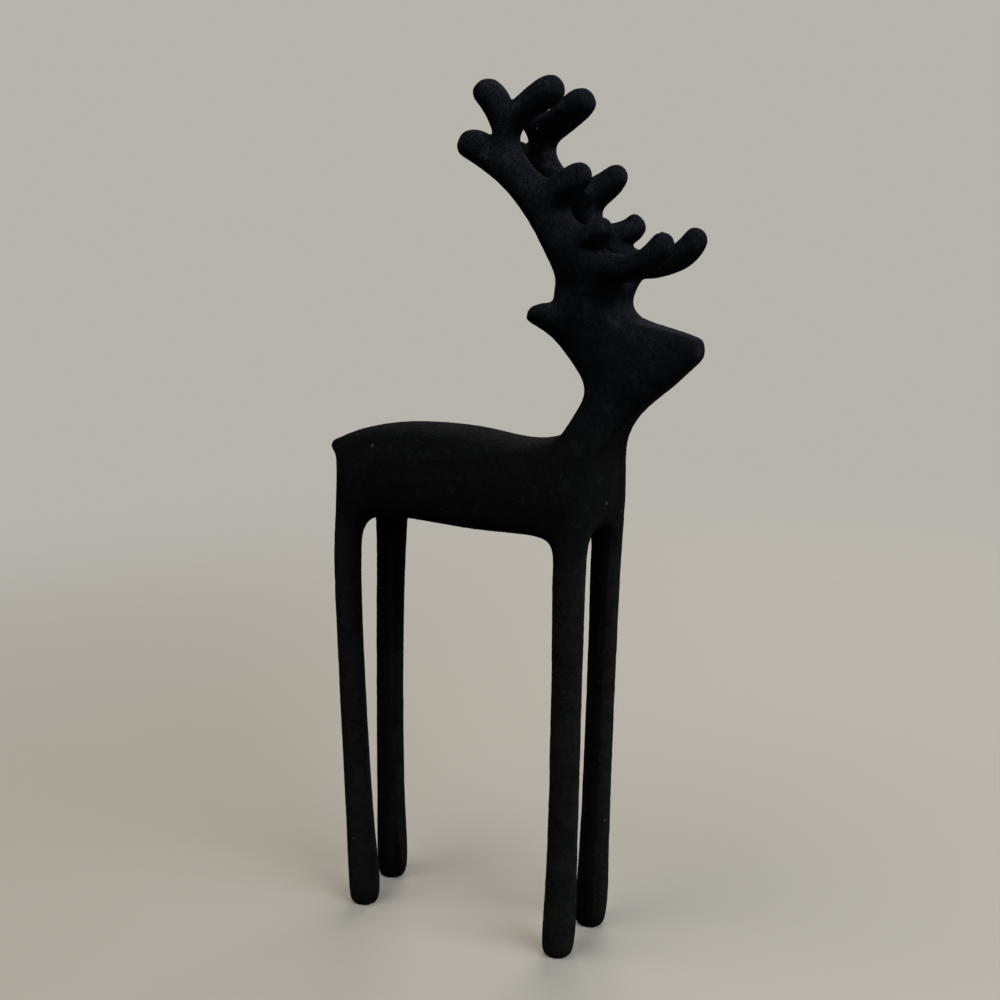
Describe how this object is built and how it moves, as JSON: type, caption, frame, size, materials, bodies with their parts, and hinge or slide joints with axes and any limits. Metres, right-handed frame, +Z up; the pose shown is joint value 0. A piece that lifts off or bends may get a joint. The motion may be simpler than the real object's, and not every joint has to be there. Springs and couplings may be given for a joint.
{
  "type": "reindeer figurine",
  "caption": "Slender standing reindeer on long thin legs, with a raised neck, wedge-shaped head, small ears and branched antlers, cast in one piece in matte black metal.",
  "frame": {"origin": "on the floor, under the middle of the figure's overall box", "axes": "+X forwards, the way the head looks; +Y towards the figure's left side; +Z up"},
  "size_m": [0.1272, 0.0356, 0.2667],
  "materials": {
    "blackened_zinc": "dull black, with a fine cast grain"
  },
  "bodies": {
    "root": {"reindeer": "blackened_zinc"}
  },
  "joints": []
}
